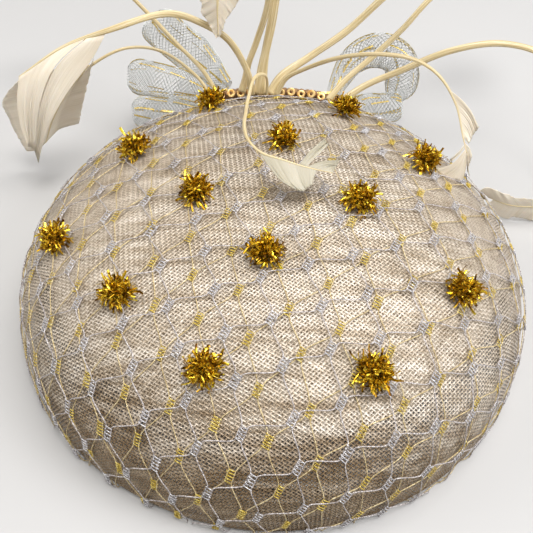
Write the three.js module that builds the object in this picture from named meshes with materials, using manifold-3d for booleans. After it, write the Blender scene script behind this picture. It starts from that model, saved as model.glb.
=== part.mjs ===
// Fascinator headpiece: a shallow round dome of open-weave sinamay over a stiff crown form, two layers
// of veiling, gold tinsel pompoms, a spray of trimmed feathers with crin loops behind the crown, and a
// comb and a sprung clip inside the rim.
// Millimetres, +Z up through the crown. The origin is the centre of the head opening, in the plane of
// the rim. -Y is the front; the feathers stand at the back, +Y.
import * as THREE from 'three';
import { mergeVertices } from 'three/addons/utils/BufferGeometryUtils.js';
import Module from 'manifold-3d';

const wasm = await Module();
wasm.setup();

// ---- driving dimensions ----
const DOME_RADIUS = 85.2; // outside of the silver veil at the rim
const DOME_HEIGHT = 48.5; // outside of the silver veil at the crown
const DOME_POWER = 2.65; // superellipse exponent of the dome's profile
const GAP = 0.3; // clearance that touching pieces keep
const VEIL_THICKNESS = 0.3;
const COVER_THICKNESS = 0.7;
const FORM_THICKNESS = 1.2;
const FORM_LOW_Z = 32; // the stiff crown form ends here, above the open side wall
const BINDING_HEIGHT = 4;
const BINDING_WALL = 0.6;
const BINDING_WEB = 0.8;
const COVER_LOW_Z = 0.4; // the cover's edge hangs just clear of what the hat stands on
const WIRE_DIAMETER = 1;
const RIBBON_WIDTH = 10;
const RIBBON_THICKNESS = 0.6;
const POMPOM_RADIUS = 5.6;
const POMPOM_HALF_HEIGHT = 4.2;
const AROUND = 36; // facets round the dome
const UP = 10; // facets from the rim to the crown

// each skin lies inside the one before it
const veilGoldInset = VEIL_THICKNESS + GAP;
const coverInset = veilGoldInset + VEIL_THICKNESS + GAP;
const formInset = coverInset + COVER_THICKNESS + 1.5 * GAP; // the facets cut a little inside the curve

// ---- materials ----
const finish = (color, roughness, metalness = 0) =>
  new THREE.MeshStandardMaterial({ color, roughness, metalness });
const sinamay = finish(0xb5a283, 0.8);
const buckram = finish(0xeae0cc, 0.85);
const ribbonSatin = finish(0xe9e2d2, 0.5);
const silverLurex = finish(0xc4bfc6, 0.4, 0.5);
const goldLurex = finish(0xc7a550, 0.4, 0.6);
const tinsel = finish(0xc98f12, 0.3, 0.8);
const featherCream = finish(0xe6dcc4, 0.7);
const crinWhite = finish(0xe3e6e6, 0.5);
const brownBraid = finish(0xa5713c, 0.7);
const wireSteel = finish(0x9a9a9a, 0.4, 1);
const clipSteel = finish(0xc9ccd0, 0.25, 1);
const combPlastic = finish(0xe9e6dc, 0.2);

const group = new THREE.Group();
group.name = 'fascinator_headpiece';

function add(name, geometry, material) {
  const mesh = new THREE.Mesh(geometry, material);
  mesh.name = name;
  group.add(mesh);
  return mesh;
}

// ---- geometry helpers ----
const vec = (x, y, z) => new THREE.Vector3(x, y, z);
const mix = THREE.MathUtils.lerp;
const smooth = THREE.MathUtils.smoothstep;

// radius and height of the dome's outer profile, less an inset, at angle t from the crown (0) to the rim
function domePoint(inset, t) {
  const radius = (DOME_RADIUS - inset) * Math.sin(t) ** (2 / DOME_POWER);
  const height = (DOME_HEIGHT - inset) * Math.cos(t) ** (2 / DOME_POWER);
  return new THREE.Vector2(radius, height);
}

const domeHeightAt = (radius, inset = 0) =>
  (DOME_HEIGHT - inset) * (1 - (radius / (DOME_RADIUS - inset)) ** DOME_POWER) ** (1 / DOME_POWER);

const domeRadiusAt = (height, inset = 0) =>
  (DOME_RADIUS - inset) * (1 - (height / (DOME_HEIGHT - inset)) ** DOME_POWER) ** (1 / DOME_POWER);

// a closed profile of radius and height, turned about +Z
function turn(profile, facets = AROUND) {
  return new THREE.LatheGeometry(profile, facets).rotateX(Math.PI / 2);
}

// a dome-shaped skin from the crown down to lowZ
function domeSkin(inset, thickness, lowZ) {
  const outline = (depth) => {
    const rim = Math.acos((lowZ / (DOME_HEIGHT - depth)) ** (DOME_POWER / 2));
    return Array.from({ length: UP + 1 }, (_, i) => domePoint(depth, (rim * i) / UP));
  };
  const apex = (depth) => new THREE.Vector2(0, DOME_HEIGHT - depth);
  const inside = outline(inset + thickness).slice(1);
  const outside = outline(inset).slice(1).reverse();
  return turn([apex(inset + thickness), ...inside, ...outside, apex(inset)]);
}

// a ring of rectangular section: inner and outer radius, low and high z
function band(inner, outer, low, high) {
  const corners = [[inner, low], [outer, low], [outer, high], [inner, high], [inner, low]];
  return turn(corners.map(([r, z]) => new THREE.Vector2(r, z)));
}

// a closed bar that follows a smooth curve. left, right and half give its reach to each side and its half
// thickness at t; sweep leans the sides forward along the curve, as a feather's barbs lean.
function bentBar(curve, { face, left, right, half, sweep = () => 0, steps = 14, sides = 8 }) {
  const geometry = new THREE.CylinderGeometry(1, 1, 1, sides, steps);
  const places = geometry.getAttribute('position');
  for (let i = 0; i < places.count; i += 1) {
    const t = Math.min(1, Math.max(0, places.getY(i) + 0.5));
    const across = places.getX(i);
    const along = curve.getTangentAt(t);
    const normal = face(t).addScaledVector(along, -face(t).dot(along)).normalize();
    const side = along.clone().cross(normal);
    const reach = across * (across > 0 ? right(t) : left(t));
    const point = curve.getPointAt(t);
    point.addScaledVector(side, reach * Math.cos(sweep(t)));
    point.addScaledVector(along, Math.abs(reach) * Math.sin(sweep(t)));
    point.addScaledVector(normal, places.getZ(i) * half(t));
    places.setXYZ(i, point.x, point.y, point.z);
  }
  return geometry;
}

const curveThrough = (points) => new THREE.CatmullRomCurve3(points.map((p) => vec(...p)), false, 'centripetal');

// a solid for manifold-3d from a three.js geometry, and back
function toSolid(geometry) {
  const bare = geometry.clone();
  bare.deleteAttribute('normal');
  bare.deleteAttribute('uv');
  const merged = mergeVertices(bare, 1e-4);
  const vertProperties = new Float32Array(merged.getAttribute('position').array);
  const triVerts = new Uint32Array(merged.index.array);
  return new wasm.Manifold(new wasm.Mesh({ numProp: 3, vertProperties, triVerts }));
}

function toGeometry(solid) {
  const { vertProperties, triVerts } = solid.getMesh();
  const geometry = new THREE.BufferGeometry();
  geometry.setAttribute('position', new THREE.BufferAttribute(vertProperties, 3));
  geometry.setIndex(new THREE.BufferAttribute(triVerts, 1));
  return geometry;
}

// ---- the dome's layers ----
const VEIL_LOW_Z = 0.6;
add('veil_silver', domeSkin(0, VEIL_THICKNESS, VEIL_LOW_Z), silverLurex);
add('veil_gold', domeSkin(veilGoldInset, VEIL_THICKNESS, VEIL_LOW_Z), goldLurex);
add('sinamay_cover', domeSkin(coverInset, COVER_THICKNESS, COVER_LOW_Z), sinamay);
add('crown_form', domeSkin(formInset, FORM_THICKNESS, FORM_LOW_Z), buckram);

// a folded ribbon inside the cover's edge: its web is the flat face the hat rests on, and its wall and the
// cover hold the rim wire between them
const bindingOuter = DOME_RADIUS - coverInset - COVER_THICKNESS - 2 * GAP;
const wireRadius = bindingOuter - WIRE_DIAMETER / 2;
const bindingInner = wireRadius - WIRE_DIAMETER / 2 - 2 * GAP - BINDING_WALL;
function rimBinding() {
  const profile = [
    [bindingInner, 0],
    [bindingOuter, 0],
    [bindingOuter, BINDING_WEB],
    [bindingInner + BINDING_WALL, BINDING_WEB],
    [bindingInner + BINDING_WALL, BINDING_HEIGHT],
    [bindingInner, BINDING_HEIGHT],
    [bindingInner, 0],
  ];
  return turn(profile.map(([r, z]) => new THREE.Vector2(r, z)));
}
add('rim_binding', rimBinding(), ribbonSatin);

const RIM_WIRE_Z = BINDING_WEB + GAP + WIRE_DIAMETER / 2;
const rimWire = new THREE.TorusGeometry(wireRadius, WIRE_DIAMETER / 2, 6, AROUND);
add('rim_wire', rimWire.translate(0, 0, RIM_WIRE_Z), wireSteel);

const RIBBON_LOW_Z = 1;
const ribbonOuter = bindingInner - GAP;
const ribbonInner = ribbonOuter - RIBBON_THICKNESS;
add('inner_ribbon', band(ribbonInner, ribbonOuter, RIBBON_LOW_Z, RIBBON_LOW_Z + RIBBON_WIDTH), ribbonSatin);

// ---- tinsel pompoms, sewn on through both veils: radius and compass angle of each ----
const POMPOM_PLACES = [
  [60, 114], [56, 66], [52, 153], [26, 87], [53, 27], [24, 180], [25, -2],
  [65, -170], [23, -96], [59, -27], [54, -140], [58, -106], [60, -64],
];
function pompom(radius, degrees) {
  const step = 0.5;
  const slope = (domeHeightAt(radius + step) - domeHeightAt(radius - step)) / (2 * step);
  const normal = new THREE.Vector2(-slope, 1).normalize();
  const lift = POMPOM_HALF_HEIGHT + GAP;
  const ball = new THREE.IcosahedronGeometry(1, 1);
  ball.scale(POMPOM_RADIUS, POMPOM_RADIUS, POMPOM_HALF_HEIGHT);
  ball.rotateY(Math.atan2(normal.x, normal.y));
  ball.translate(radius + normal.x * lift, 0, domeHeightAt(radius) + normal.y * lift);
  return ball.rotateZ(THREE.MathUtils.degToRad(degrees));
}
POMPOM_PLACES.forEach(([radius, degrees], i) => {
  add(`pompom_${String(i + 1).padStart(2, '0')}`, pompom(radius, degrees), tinsel);
});

// ---- the pad behind the crown that the quills, the crin and the sequins are sewn to ----
const PAD_RADIUS = 82.8;
const PAD_Z = 25.5;
const PAD_HALF_HEIGHT = 5;
const PAD_HALF_THICKNESS = 2.2;
const PAD_HALF_ANGLE = 19;
function quillPad() {
  const arc = Array.from({ length: 7 }, (_, i) => {
    const angle = THREE.MathUtils.degToRad(90 + PAD_HALF_ANGLE * (1 - i / 3));
    return [PAD_RADIUS * Math.cos(angle), PAD_RADIUS * Math.sin(angle), PAD_Z];
  });
  const curve = curveThrough(arc);
  const face = (t) => {
    const spot = curve.getPointAt(t);
    return vec(-spot.x, -spot.y, -0.37 * PAD_RADIUS).normalize();
  };
  const reach = () => PAD_HALF_HEIGHT;
  return bentBar(curve, { face, left: reach, right: reach, half: () => PAD_HALF_THICKNESS, steps: 8 });
}
add('quill_pad', quillPad(), brownBraid);

// ---- feathers: a bare quill that opens into a trimmed vane near its tip ----
// path: points of the shaft, root first. quill: shaft diameter. vane: where the vane starts along the
// shaft. left, right: how far the vane reaches to each side at its start, middle and end. face: the way
// the vane's flat side looks, at the root and at the tip. lean: the barbs' lean along the shaft in
// degrees, at the vane's start and end.
const VANE_HALF_THICKNESS = 0.5;
const FEATHERS = {
  feather_01: {
    path: [
      [-11.6, 75.6, 30.8], [-12.3, 75.6, 37.5], [-14.5, 76.8, 43.5], [-20.5, 78, 53], [-29, 77, 59.5],
      [-41, 73, 65.5], [-61, 65, 63], [-78, 61.5, 57.5], [-93.5, 54.5, 49.5],
    ],
    quill: 2.2, vane: 0.66, left: [48, 40, 26], right: [0, 0, 0],
    face: [[0, -1, 0.3], [-0.2, -0.8, 0.5]], lean: [47, 28],
  },
  feather_02: {
    path: [
      [-26.8, 72.6, 30.4], [-33, 77, 37], [-46, 78, 47], [-58, 73, 51],
      [-70, 68, 47], [-80, 65, 38], [-88, 62, 26], [-93, 60, 15],
    ],
    quill: 1.2, vane: 0.56, left: [2, 14, 4], right: [2, 20, 4],
    face: [[0, -1, 0.3], [-0.1, -0.85, 0.5]], lean: [38, 28],
  },
  feather_03: {
    path: [
      [-24.2, 73.8, 30.4], [-31, 80, 38], [-41, 85, 46], [-59, 92, 62],
      [-75, 98, 73], [-92, 103, 77], [-107, 105, 72], [-118, 105, 60],
    ],
    quill: 1.4, vane: 0.7, left: [2, 9, 3], right: [2, 9, 3],
    face: [[0, -1, 0.3], [0, -0.8, 0.6]], lean: [38, 28],
  },
  feather_04: {
    path: [
      [-15.6, 77.8, 30.4], [-14.4, 79.6, 34.5], [-13.2, 81, 41], [-10, 82.5, 50.5], [-6, 84, 66], [-6.5, 86, 84],
      [-13, 86, 91], [-21, 82, 84], [-23.8, 77, 70], [-23.7, 73, 57.5],
    ],
    quill: 1.4, vane: 0.74, left: [3, 8, 0.6], right: [3, 8, 0.6],
    face: [[0, -1, 0.3], [0, -0.9, 0.3]], lean: [40, 34],
  },
  feather_05: {
    path: [
      [-8.5, 76.8, 30.4], [-7.3, 80.5, 42], [-4.6, 85, 57], [-2, 89.5, 74], [4, 92, 91],
      [17, 91, 104], [34, 86, 107], [48, 79, 98], [55, 73, 84],
    ],
    quill: 2.4, vane: 0.7, left: [2, 11, 4], right: [2, 11, 4],
    face: [[0, -1, 0.3], [0, -0.8, 0.6]], lean: [38, 28],
  },
  feather_06: {
    path: [
      [-5.6, 75.8, 30.6], [-5.5, 75.4, 37], [-6.2, 73.6, 41.2], [-8, 70.8, 43.6], [-10, 66.5, 44.8],
      [-11.3, 53, 47], [-11.6, 38, 50.5], [-11.2, 24, 54.9], [-9, 14, 57.5], [-5, 9, 57.5],
      [2, 6, 57.5], [7, 4.5, 57], [12, 3.5, 56.5], [16.5, 3, 56],
    ],
    quill: 1, vane: 0.8, left: [0.6, 2, 6], right: [4, 9, 4],
    face: [[1, 0.3, 0], [0, -0.3, 1]], lean: [32, 18],
  },
  feather_07: {
    path: [
      [-4, 76.8, 30.4], [0, 81, 36], [11, 87.5, 41.5], [24.5, 94, 49], [38, 101, 60],
      [54, 110, 72], [72, 117, 80], [90, 121, 79], [104, 121, 69],
    ],
    quill: 2.4, vane: 0.72, left: [2, 11, 3], right: [2, 11, 3],
    face: [[0, -1, 0.3], [0, -0.8, 0.6]], lean: [38, 28],
  },
  feather_08: {
    path: [
      [-1.8, 76.6, 30.4], [1.5, 78, 37], [8, 76.5, 42.5], [21, 69, 53.2], [34, 61, 60.2],
      [45, 52, 64], [52.5, 46, 62], [58.5, 40, 55.5], [61.5, 33, 48], [63, 28.5, 44.5],
    ],
    quill: 1.1, vane: 0.66, left: [0.5, 8, 3], right: [0.5, 0.5, 3],
    face: [[0, -1, 0.3], [-0.1, -0.7, 0.7]], lean: [32, 18],
  },
  feather_09: {
    path: [
      [18.6, 74.6, 30.4], [25, 80.5, 35.8], [36, 87, 43.5], [46, 93, 51.5],
      [56, 100, 61], [70, 106, 71], [86, 109, 74], [100, 109, 67],
    ],
    quill: 1.8, vane: 0.7, left: [2, 9, 3], right: [2, 9, 3],
    face: [[0, -1, 0.3], [0, -0.8, 0.6]], lean: [38, 28],
  },
  feather_10: {
    path: [
      [23.2, 73.2, 30.6], [33, 78.5, 35.2], [46, 81, 40.8], [64, 82.5, 49.5], [82, 82, 53.6], [98, 77, 52],
      [109, 69, 44], [112.5, 59, 31], [110, 49, 17], [103, 43, 9], [95, 42, 8.5], [88, 42, 9.5], [81, 42.5, 12],
    ],
    quill: 2.2, vane: 0.78, left: [2, 5.5, 4.5], right: [2, 5.5, 4.5],
    face: [[0, -1, 0.3], [-0.1, -0.6, 0.8]], lean: [38, 28],
  },
};

function threeValues([start, middle, end], u) {
  return u < 0.5 ? mix(start, middle, smooth(u, 0, 0.5)) : mix(middle, end, smooth(u, 0.5, 1));
}

function feather({ path, quill, vane, left, right, face, lean }) {
  const shaft = (t) => mix(quill / 2, 0.4, t);
  const onVane = (t) => (t - vane) / (1 - vane);
  const side = (values) => (t) =>
    t <= vane ? shaft(t) : Math.max(shaft(t), threeValues(values, onVane(t)) * smooth(onVane(t), 0, 0.12));
  const leaning = (t) => THREE.MathUtils.degToRad(mix(lean[0], lean[1], onVane(t)));
  return bentBar(curveThrough(path), {
    face: (t) => vec(...face[0]).lerp(vec(...face[1]), smooth(t, 0, vane)),
    left: side(left),
    right: side(right),
    half: (t) => (t <= vane ? shaft(t) : Math.max(VANE_HALF_THICKNESS, shaft(t) * (1 - onVane(t)))),
    sweep: (t) => leaning(t) * smooth(onVane(t), 0, 0.12),
    steps: 20,
  });
}
Object.entries(FEATHERS).forEach(([name, spec]) => add(name, feather(spec), featherCream));

// ---- crin loops: flattened tubes of open mesh, sewn behind the pad ----
const CRIN_LOOPS = {
  crin_loop_upper: {
    path: [[-21.5, 85, 27.5], [-28, 92, 29.5], [-36, 96.3, 34], [-45.5, 96.5, 42.5], [-52, 96.5, 50.5]],
    wide: [2.4, 7.5, 8],
  },
  crin_loop_middle: {
    path: [[-23, 84.4, 21.5], [-31.5, 89, 20.5], [-42, 91.2, 22], [-53, 91.4, 25], [-64, 91.4, 26.5]],
    wide: [2.2, 6.8, 7.2],
  },
  crin_loop_lower: {
    path: [[-24.5, 84, 15.5], [-33, 85.8, 12.5], [-42, 86.4, 12], [-53, 86.4, 11.5], [-63, 86.4, 11.5]],
    wide: [2.2, 6.3, 6.8],
  },
  crin_ring: {
    path: [
      [21, 84.8, 24.5], [24, 91, 29], [28.5, 94.5, 35.5], [34.5, 95, 39.8],
      [41, 95, 40.4], [47, 94.8, 37], [49.5, 94.5, 31.5], [50, 94.3, 26],
    ],
    wide: [2.2, 5.4, 5],
  },
  crin_ring_fold: {
    path: [[23.5, 84.2, 18.5], [31, 88.4, 17], [38, 89.6, 16.5], [45, 89.8, 17], [51.5, 89.6, 18]],
    wide: [2.2, 6, 6],
  },
};
const CRIN_HALF_THICKNESS = 2.2;
function crinLoop({ path, wide }) {
  const reach = (t) => threeValues(wide, t);
  const face = () => vec(0, -1, 0.2);
  const half = (t) => CRIN_HALF_THICKNESS * mix(0.6, 1, smooth(t, 0, 0.4));
  return bentBar(curveThrough(path), { face, left: reach, right: reach, half, steps: 8 });
}
Object.entries(CRIN_LOOPS).forEach(([name, spec]) => add(name, crinLoop(spec), crinWhite));

// ---- the comb, sewn inside the rim at the front ----
const COMB_TEETH = 17;
const COMB_PITCH = 3;
const COMB_TOOTH_WIDTH = 1.3;
const COMB_TOOTH_LENGTH = 25;
const COMB_SPINE_DEPTH = 4;
const COMB_THICKNESS = 1.6;
const COMB_FRONT_Y = -74;
const COMB_LOW_Z = 5;
const COMB_RISE = 3; // how far the teeth's tips curve up
function hairComb() {
  const halfLength = ((COMB_TEETH - 1) * COMB_PITCH) / 2 + 1.2;
  const outline = [[-halfLength, 0], [halfLength, 0], [halfLength, COMB_SPINE_DEPTH]];
  for (let i = COMB_TEETH - 1; i >= 0; i -= 1) {
    const middle = (i - (COMB_TEETH - 1) / 2) * COMB_PITCH;
    const tooth = [[0.5, 0], [0.42, 0.5], [0.25, 0.97], [-0.25, 0.97], [-0.42, 0.5], [-0.5, 0]];
    tooth.forEach(([w, d]) => {
      outline.push([middle + w * COMB_TOOTH_WIDTH, COMB_SPINE_DEPTH + d * COMB_TOOTH_LENGTH]);
    });
  }
  outline.push([-halfLength, COMB_SPINE_DEPTH]);
  const shape = new THREE.Shape(outline.map(([x, y]) => new THREE.Vector2(x, y)));
  const geometry = new THREE.ExtrudeGeometry(shape, { depth: COMB_THICKNESS, bevelEnabled: false });
  const places = geometry.getAttribute('position');
  for (let i = 0; i < places.count; i += 1) {
    const out = Math.max(0, places.getY(i) - COMB_SPINE_DEPTH) / COMB_TOOTH_LENGTH;
    places.setZ(i, places.getZ(i) + COMB_RISE * out * out);
  }
  return geometry.translate(0, COMB_FRONT_Y, COMB_LOW_Z);
}
add('hair_comb', hairComb(), combPlastic);

// ---- the sprung clip, sewn inside the rim at the back ----
// Made in its own frame: x along the clip, y out of the base plate, z across its width; then stood
// against the ribbon with the lever towards the middle of the hat.
const CLIP_HALF_LENGTH = 22;
const CLIP_HALF_WIDTH = 3.6;
const CLIP_PLATE = 0.8;
const CLIP_PIN_X = 8;
const CLIP_PIN_Y = 4;
const CLIP_PIN_RADIUS = 0.6;
const CLIP_EAR_RADIUS = 2.2;
const CLIP_EAR_THICKNESS = 0.6;
const CLIP_LEVER_HALF_WIDTH = CLIP_HALF_WIDTH - CLIP_EAR_THICKNESS - GAP;
const CLIP_SPRING_HALF_WIDTH = 1.2;
const CLIP_SPRING_RADIUS = 1.7;
const CLIP_SPRING_WIRE = 0.5;
const CLIP_BACK_Y = 74.8;
const CLIP_MIDDLE_Z = 7;

const intoHat = (geometry) => geometry.rotateX(Math.PI).translate(0, CLIP_BACK_Y, CLIP_MIDDLE_Z);
const pinCylinder = (radius, halfWidth, sides = 16) =>
  new THREE.CylinderGeometry(radius, radius, 2 * halfWidth, sides)
    .rotateX(Math.PI / 2)
    .translate(CLIP_PIN_X, CLIP_PIN_Y, 0);

function slab(outline, lowZ, highZ) {
  const shape = new THREE.Shape(outline.map(([x, y]) => new THREE.Vector2(x, y)));
  return new THREE.ExtrudeGeometry(shape, { depth: highZ - lowZ, bevelEnabled: false }).translate(0, 0, lowZ);
}

function clipBase() {
  const plate = new THREE.BoxGeometry(2 * CLIP_HALF_LENGTH, CLIP_PLATE, 2 * CLIP_HALF_WIDTH);
  let solid = toSolid(plate.translate(0, CLIP_PLATE / 2, 0));
  const ear = [
    [CLIP_PIN_X - 3.2, 0.1],
    [CLIP_PIN_X + 3.2, 0.1],
    [CLIP_PIN_X + CLIP_EAR_RADIUS, CLIP_PIN_Y],
    [CLIP_PIN_X + 1.4, CLIP_PIN_Y + 1.7],
    [CLIP_PIN_X - 1.4, CLIP_PIN_Y + 1.7],
    [CLIP_PIN_X - CLIP_EAR_RADIUS, CLIP_PIN_Y],
  ];
  solid = solid.add(toSolid(slab(ear, CLIP_HALF_WIDTH - CLIP_EAR_THICKNESS, CLIP_HALF_WIDTH)));
  solid = solid.add(toSolid(slab(ear, -CLIP_HALF_WIDTH, CLIP_EAR_THICKNESS - CLIP_HALF_WIDTH)));
  return toGeometry(solid.subtract(toSolid(pinCylinder(CLIP_PIN_RADIUS + GAP, CLIP_HALF_WIDTH + 1))));
}

function clipLever() {
  const jaw = CLIP_PLATE + GAP;
  const outline = [
    [-CLIP_HALF_LENGTH + 0.5, jaw],
    [-12, jaw],
    [1.5, jaw + 0.9],
    [CLIP_PIN_X - 1.6, jaw + 1.2],
    [CLIP_PIN_X + 1.8, CLIP_PIN_Y - 1.2],
    [CLIP_HALF_LENGTH, CLIP_PIN_Y + 5.6],
    [CLIP_HALF_LENGTH, CLIP_PIN_Y + 6.6],
    [CLIP_PIN_X + 1.2, CLIP_PIN_Y + 1.9],
    [CLIP_PIN_X - 1.4, CLIP_PIN_Y + 1.7],
    [1, jaw + 2],
    [-12, jaw + 0.9],
    [-CLIP_HALF_LENGTH + 0.5, jaw + 0.9],
  ];
  let solid = toSolid(slab(outline, -CLIP_LEVER_HALF_WIDTH, CLIP_LEVER_HALF_WIDTH));
  const springRoom = CLIP_SPRING_RADIUS + CLIP_SPRING_WIRE / 2 + GAP;
  solid = solid.subtract(toSolid(pinCylinder(springRoom, CLIP_SPRING_HALF_WIDTH + CLIP_SPRING_WIRE / 2 + GAP)));
  return toGeometry(solid.subtract(toSolid(pinCylinder(CLIP_PIN_RADIUS + GAP, CLIP_HALF_WIDTH))));
}

function clipPin() {
  const head = CLIP_PIN_RADIUS + 0.6;
  const shank = CLIP_HALF_WIDTH + GAP;
  const end = shank + 0.5;
  const profile = [
    [0, -end], [head, -end], [head, -shank], [CLIP_PIN_RADIUS, -shank],
    [CLIP_PIN_RADIUS, shank], [head, shank], [head, end], [0, end],
  ];
  const points = profile.map(([r, z]) => new THREE.Vector2(r, z));
  return turn(points, 14).translate(CLIP_PIN_X, CLIP_PIN_Y, 0);
}

class SpringCoil extends THREE.Curve {
  getPoint(t, target = new THREE.Vector3()) {
    const angle = t * 3 * 2 * Math.PI;
    const z = mix(-CLIP_SPRING_HALF_WIDTH, CLIP_SPRING_HALF_WIDTH, t);
    const x = CLIP_PIN_X + CLIP_SPRING_RADIUS * Math.cos(angle);
    return target.set(x, CLIP_PIN_Y + CLIP_SPRING_RADIUS * Math.sin(angle), z);
  }
}
function clipSpring() {
  const wire = new THREE.Shape();
  wire.absarc(0, 0, CLIP_SPRING_WIRE / 2, 0, 2 * Math.PI, false);
  return new THREE.ExtrudeGeometry(wire, { steps: 27, curveSegments: 3, extrudePath: new SpringCoil() });
}
add('clip_base', intoHat(clipBase()), clipSteel);
add('clip_lever', intoHat(clipLever()), clipSteel);
add('clip_pin', intoHat(clipPin()), clipSteel);
add('clip_spring', intoHat(clipSpring()), clipSteel);

export default group;
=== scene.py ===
"""Looks of a fascinator headpiece: a sinamay dome under silver and gold veiling, tinsel pompoms, trimmed
feathers, crin loops, sequins, and the ribbon, comb and clip inside the rim.

Sizes below are millimetres, in the frame of the CAD model: +Z up through the crown, -Y the front, the
origin at the centre of the head opening. They become metres where a mesh is made.
"""

import math

import bpy
import numpy as np
from mathutils import Matrix, Vector


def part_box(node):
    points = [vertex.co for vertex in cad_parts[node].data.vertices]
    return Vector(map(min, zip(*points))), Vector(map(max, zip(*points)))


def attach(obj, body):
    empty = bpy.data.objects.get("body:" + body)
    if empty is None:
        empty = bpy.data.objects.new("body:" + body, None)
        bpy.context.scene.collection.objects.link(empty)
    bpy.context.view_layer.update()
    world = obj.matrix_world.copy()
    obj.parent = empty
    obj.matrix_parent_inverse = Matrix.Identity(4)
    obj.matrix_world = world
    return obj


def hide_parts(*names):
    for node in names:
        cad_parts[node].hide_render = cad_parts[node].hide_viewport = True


MM = 0.001
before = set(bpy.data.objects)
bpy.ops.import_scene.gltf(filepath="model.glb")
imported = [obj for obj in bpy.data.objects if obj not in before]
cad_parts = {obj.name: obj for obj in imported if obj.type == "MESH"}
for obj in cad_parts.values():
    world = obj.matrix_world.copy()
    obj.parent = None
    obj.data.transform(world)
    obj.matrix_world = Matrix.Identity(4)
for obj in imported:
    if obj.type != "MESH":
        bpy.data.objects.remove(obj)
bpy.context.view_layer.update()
rng = np.random.default_rng(7)


def node_box(node):
    """Lowest and highest corner of a CAD node, in millimetres."""
    low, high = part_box(node)
    return np.array(low) / MM, np.array(high) / MM


# ---- camera
CAMERA_AT = Vector((0.0, -152.1, 193.4))
CAMERA_AIM = Vector((-2.5, 7.6, 6.3))
CAMERA_ROLL = math.radians(1.8)
CAMERA_LENS = 46.4


def make_camera():
    data = bpy.data.cameras.new("camera")
    data.lens = CAMERA_LENS
    data.sensor_width = 36.0
    data.clip_start = 0.005
    camera = bpy.data.objects.new("camera", data)
    turn = (CAMERA_AIM - CAMERA_AT).to_track_quat("-Z", "Y").to_matrix()
    turn = turn @ Matrix.Rotation(CAMERA_ROLL, 3, "Z")
    camera.matrix_world = Matrix.Translation(CAMERA_AT * MM) @ turn.to_4x4()
    bpy.context.scene.collection.objects.link(camera)
    bpy.context.scene.camera = camera


# ---- mesh helpers
def make_piece(name, points, faces, uv, look, node=None):
    """A mesh object from points in millimetres, riding on the root body, in place of a CAD node if one is
    named. uv is one pair per point."""
    mesh = bpy.data.meshes.new(name)
    mesh.from_pydata((np.asarray(points) * MM).tolist(), [], np.asarray(faces).tolist())
    corners = np.empty(len(mesh.loops), np.int32)
    mesh.loops.foreach_get("vertex_index", corners)
    layer = mesh.uv_layers.new(name="UVMap")
    layer.data.foreach_set("uv", np.asarray(uv, np.float32)[corners].ravel())
    mesh.polygons.foreach_set("use_smooth", np.full(len(mesh.polygons), True))
    mesh.materials.append(LOOKS[look])
    piece = bpy.data.objects.new(name, mesh)
    bpy.context.scene.collection.objects.link(piece)
    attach(piece, "root")
    if node:
        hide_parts(node)
    return piece


class Builder:
    """Collects points, faces and texture coordinates of many small shapes for one mesh."""

    def __init__(self):
        self.points, self.faces, self.uv, self.count = [], [], [], 0

    def add(self, points, faces, uv):
        self.points.append(points)
        self.faces.append(faces + self.count)
        self.uv.append(uv)
        self.count += len(points)

    def piece(self, name, look, slot, node=None, reshape=None):
        points, faces, uv = (np.concatenate(part) for part in (self.points, self.faces, self.uv))
        return make_piece(name, reshape(points) if reshape else points, faces, uv, look, node)


def grid_faces(rows, columns, wrap=False):
    """Quads of a rows x columns grid of points; wrap joins the last column to the first."""
    across = columns if wrap else columns - 1
    r, c = np.meshgrid(np.arange(rows - 1), np.arange(across), indexing="ij")
    a, b = r * columns + c, r * columns + (c + 1) % columns
    return np.stack([a, b, b + columns, a + columns], -1).reshape(-1, 4)


def torus_faces(rows, columns):
    """Quads of a grid of points that closes on itself both ways."""
    faces = grid_faces(rows + 1, columns, wrap=True)
    return faces % (rows * columns)


def unit(v):
    return v / np.maximum(np.linalg.norm(v, axis=-1, keepdims=True), 1e-9)


def step_lengths(line):
    return np.linalg.norm(np.diff(line, axis=0), axis=1)


def run_along(line):
    """The distance along a line, at each of its points."""
    return np.concatenate([[0], np.cumsum(step_lengths(line))])


def side_by_side(*coordinates):
    return np.stack(np.broadcast_arrays(*coordinates), -1)


def tangents(line):
    return unit(np.gradient(line, axis=0))


def frames_along(line, up):
    """Tangent, side and normal at each point of a line, with the normal as near up as it can be."""
    along = tangents(line)
    up = np.broadcast_to(np.asarray(up, float), along.shape)
    normal = unit(up - (up * along).sum(-1, keepdims=True) * along)
    return along, np.cross(along, normal), normal


def rolled_frames(line):
    """Tangent, side and normal carried along a line without twist, for coils."""
    along = tangents(line)
    start = np.array([0.0, 0.0, 1.0]) if abs(along[0][2]) < 0.9 else np.array([1.0, 0.0, 0.0])
    normals = [unit(start - start @ along[0] * along[0])]
    for t in along[1:]:
        normals.append(unit(normals[-1] - normals[-1] @ t * t))
    normal = np.array(normals)
    return along, np.cross(along, normal), normal


def round_axis(r, angle, z):
    """Points at radius r, an angle and height z, round the hat's upright axis."""
    return side_by_side(r * np.cos(angle), r * np.sin(angle), z)


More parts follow.
